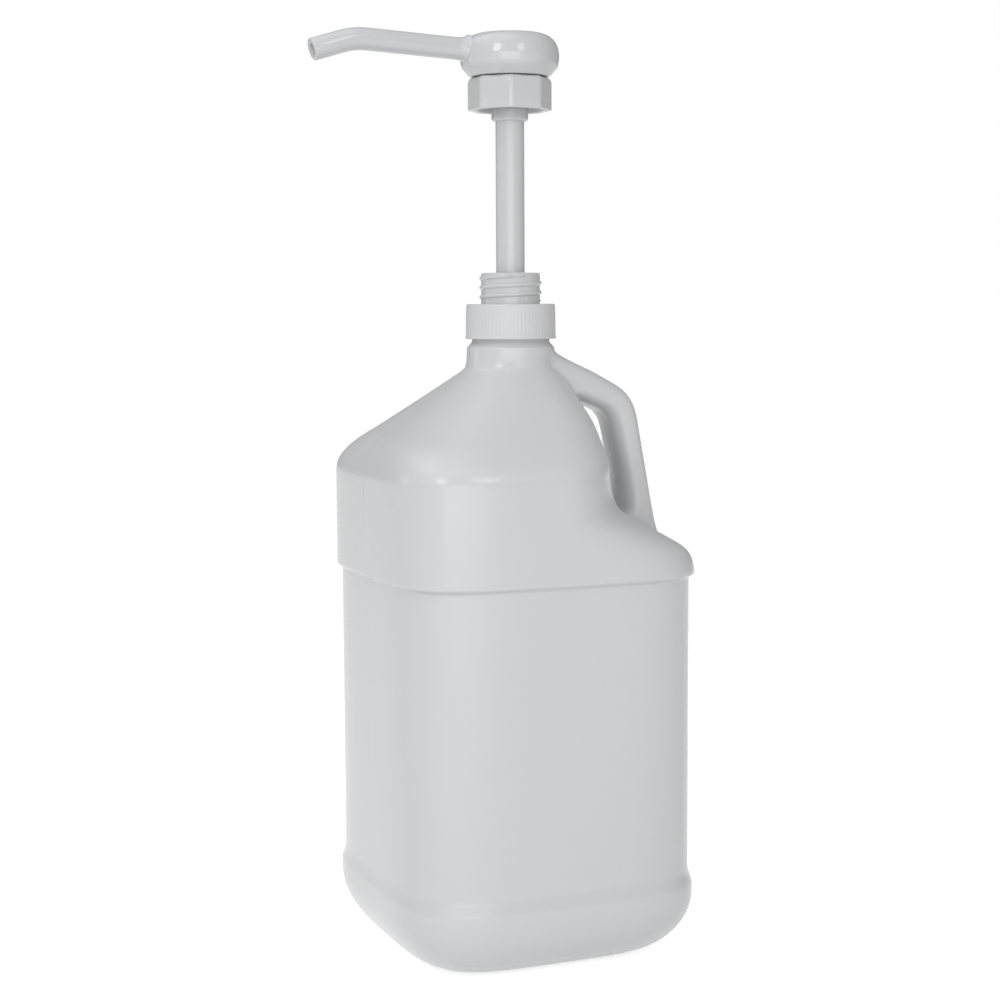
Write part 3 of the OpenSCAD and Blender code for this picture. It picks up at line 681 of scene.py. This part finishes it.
studio = {
    "floorHalf": 6, "floorShade": 0.9, "floorGlow": 0.7, "worldLight": 0.36,
    # place, size, power and what each lamp points at
    "lamps": [("leftSoftbox", (-0.95, -0.72, 0.9), (0.34, 0.6), 3.8, (0, 0, 0.2)),
              ("rightSoftbox", (0.12, -1.15, 0.9), (0.3, 0.5), 1.9, (0, 0, 0.2)),
              ("lowFill", (-0.55, -1.5, 0.28), (1.5, 0.5), 5.2, (0, 0, 0.1)),
              ("backLeft", (-0.45, 0.5, 1.2), (0.6, 0.6), 0.8, (0, 0, 0.25)),
              ("leftStrip", (-1.0, 0.7, 0.42), (0.07, 0.5), 0.5, (0, 0, 0.35)),
              ("rightStrip", (0.8, -0.9, 0.42), (0.07, 0.5), 0.2, (0, 0, 0.35)),
              ("topPanel", (-0.4, 0.0, 1.45), (1.2, 1.2), 3.6, (0, 0, 0.2))],
}


def makeStudio(values):
    bm = bmesh.new()
    bmesh.ops.create_grid(bm, x_segments=1, y_segments=1, size=values["floorHalf"])
    mesh = bpy.data.meshes.new("floor")
    bm.to_mesh(mesh)
    bm.free()
    floor = bpy.data.objects.new("floor", mesh)
    bpy.context.scene.collection.objects.link(floor)
    material = bpy.data.materials.new("paleFloor")
    material.use_nodes = True
    nodes, links = material.node_tree.nodes, material.node_tree.links
    shader = nodes["Principled BSDF"]
    shader.inputs["Base Color"].default_value = (values["floorShade"],) * 3 + (1,)
    shader.inputs["Roughness"].default_value = 0.9
    shader.inputs["Specular IOR Level"].default_value = 0.1
    shader.inputs["Emission Color"].default_value = (1, 1, 1, 1)
    path = nodes.new("ShaderNodeLightPath")
    seen = nodes.new("ShaderNodeMath")
    seen.operation = "MAXIMUM"
    both = nodes.new("ShaderNodeMath")
    both.operation = "MAXIMUM"
    glow = nodes.new("ShaderNodeMath")
    glow.operation = "MULTIPLY"
    glow.inputs[1].default_value = values["floorGlow"]
    links.new(path.outputs["Is Camera Ray"], seen.inputs[0])
    links.new(path.outputs["Is Glossy Ray"], seen.inputs[1])
    links.new(seen.outputs[0], both.inputs[0])
    links.new(path.outputs["Is Transmission Ray"], both.inputs[1])
    links.new(both.outputs[0], glow.inputs[0])
    links.new(glow.outputs[0], shader.inputs["Emission Strength"])
    mesh.materials.append(material)

    world = bpy.data.worlds.new("studioWorld")
    bpy.context.scene.world = world
    world.use_nodes = True
    nodes, links = world.node_tree.nodes, world.node_tree.links
    sky = nodes["Background"]
    sky.inputs["Color"].default_value = (1, 1, 1, 1)
    path = nodes.new("ShaderNodeLightPath")
    seen = nodes.new("ShaderNodeMath")
    seen.operation = "MAXIMUM"
    level = nodes.new("ShaderNodeMapRange")
    level.inputs["To Min"].default_value = values["worldLight"]
    level.inputs["To Max"].default_value = 1
    links.new(path.outputs["Is Camera Ray"], seen.inputs[0])
    links.new(path.outputs["Is Transmission Ray"], seen.inputs[1])
    links.new(seen.outputs[0], level.inputs["Value"])
    links.new(level.outputs["Result"], sky.inputs["Strength"])

    for name, place, size, power, target in values["lamps"]:
        lamp = bpy.data.lights.new(name, "AREA")
        lamp.shape = "RECTANGLE"
        lamp.size, lamp.size_y = size
        lamp.energy = power
        holder = bpy.data.objects.new(name, lamp)
        holder.location = place
        holder.rotation_euler = (Vector(target) - Vector(place)).to_track_quat("-Z", "Y").to_euler()
        bpy.context.scene.collection.objects.link(holder)


makeStudio(studio)

view = {"azimuth": 22.71, "pan": 0.33, "tilt": 5.63, "roll": -0.27, "distance": 0.90225, "height": 0.29188,
        "focalPixels": 1983.62, "sensorWidth": 36, "imagePixels": 1000}


def makeCamera(values):
    turn = math.radians(values["azimuth"])
    place = Vector((-math.sin(turn) * values["distance"], -math.cos(turn) * values["distance"],
                    values["height"]))
    ahead = Vector((math.sin(turn), math.cos(turn), 0))
    ahead.rotate(Matrix.Rotation(math.radians(values["pan"]), 3, "Z"))
    right = Vector((ahead.y, -ahead.x, 0))
    tilt, roll = math.radians(values["tilt"]), math.radians(values["roll"])
    look = ahead * math.cos(tilt) - Vector((0, 0, 1)) * math.sin(tilt)
    up = right.cross(look)
    across = right * math.cos(roll) + up * math.sin(roll)
    upright = up * math.cos(roll) - right * math.sin(roll)
    lens = bpy.data.cameras.new("camera")
    lens.sensor_fit = "HORIZONTAL"
    lens.sensor_width = values["sensorWidth"]
    lens.lens = values["focalPixels"] * values["sensorWidth"] / values["imagePixels"]
    lens.clip_start, lens.clip_end = 0.05, 50
    camera = bpy.data.objects.new("camera", lens)
    camera.matrix_world = Matrix(((across.x, upright.x, -look.x, place.x),
                                  (across.y, upright.y, -look.y, place.y),
                                  (across.z, upright.z, -look.z, place.z), (0, 0, 0, 1)))
    bpy.context.scene.collection.objects.link(camera)
    bpy.context.scene.camera = camera


makeCamera(view)
bpy.context.scene.view_settings.view_transform = "Standard"
print("studio and camera made")
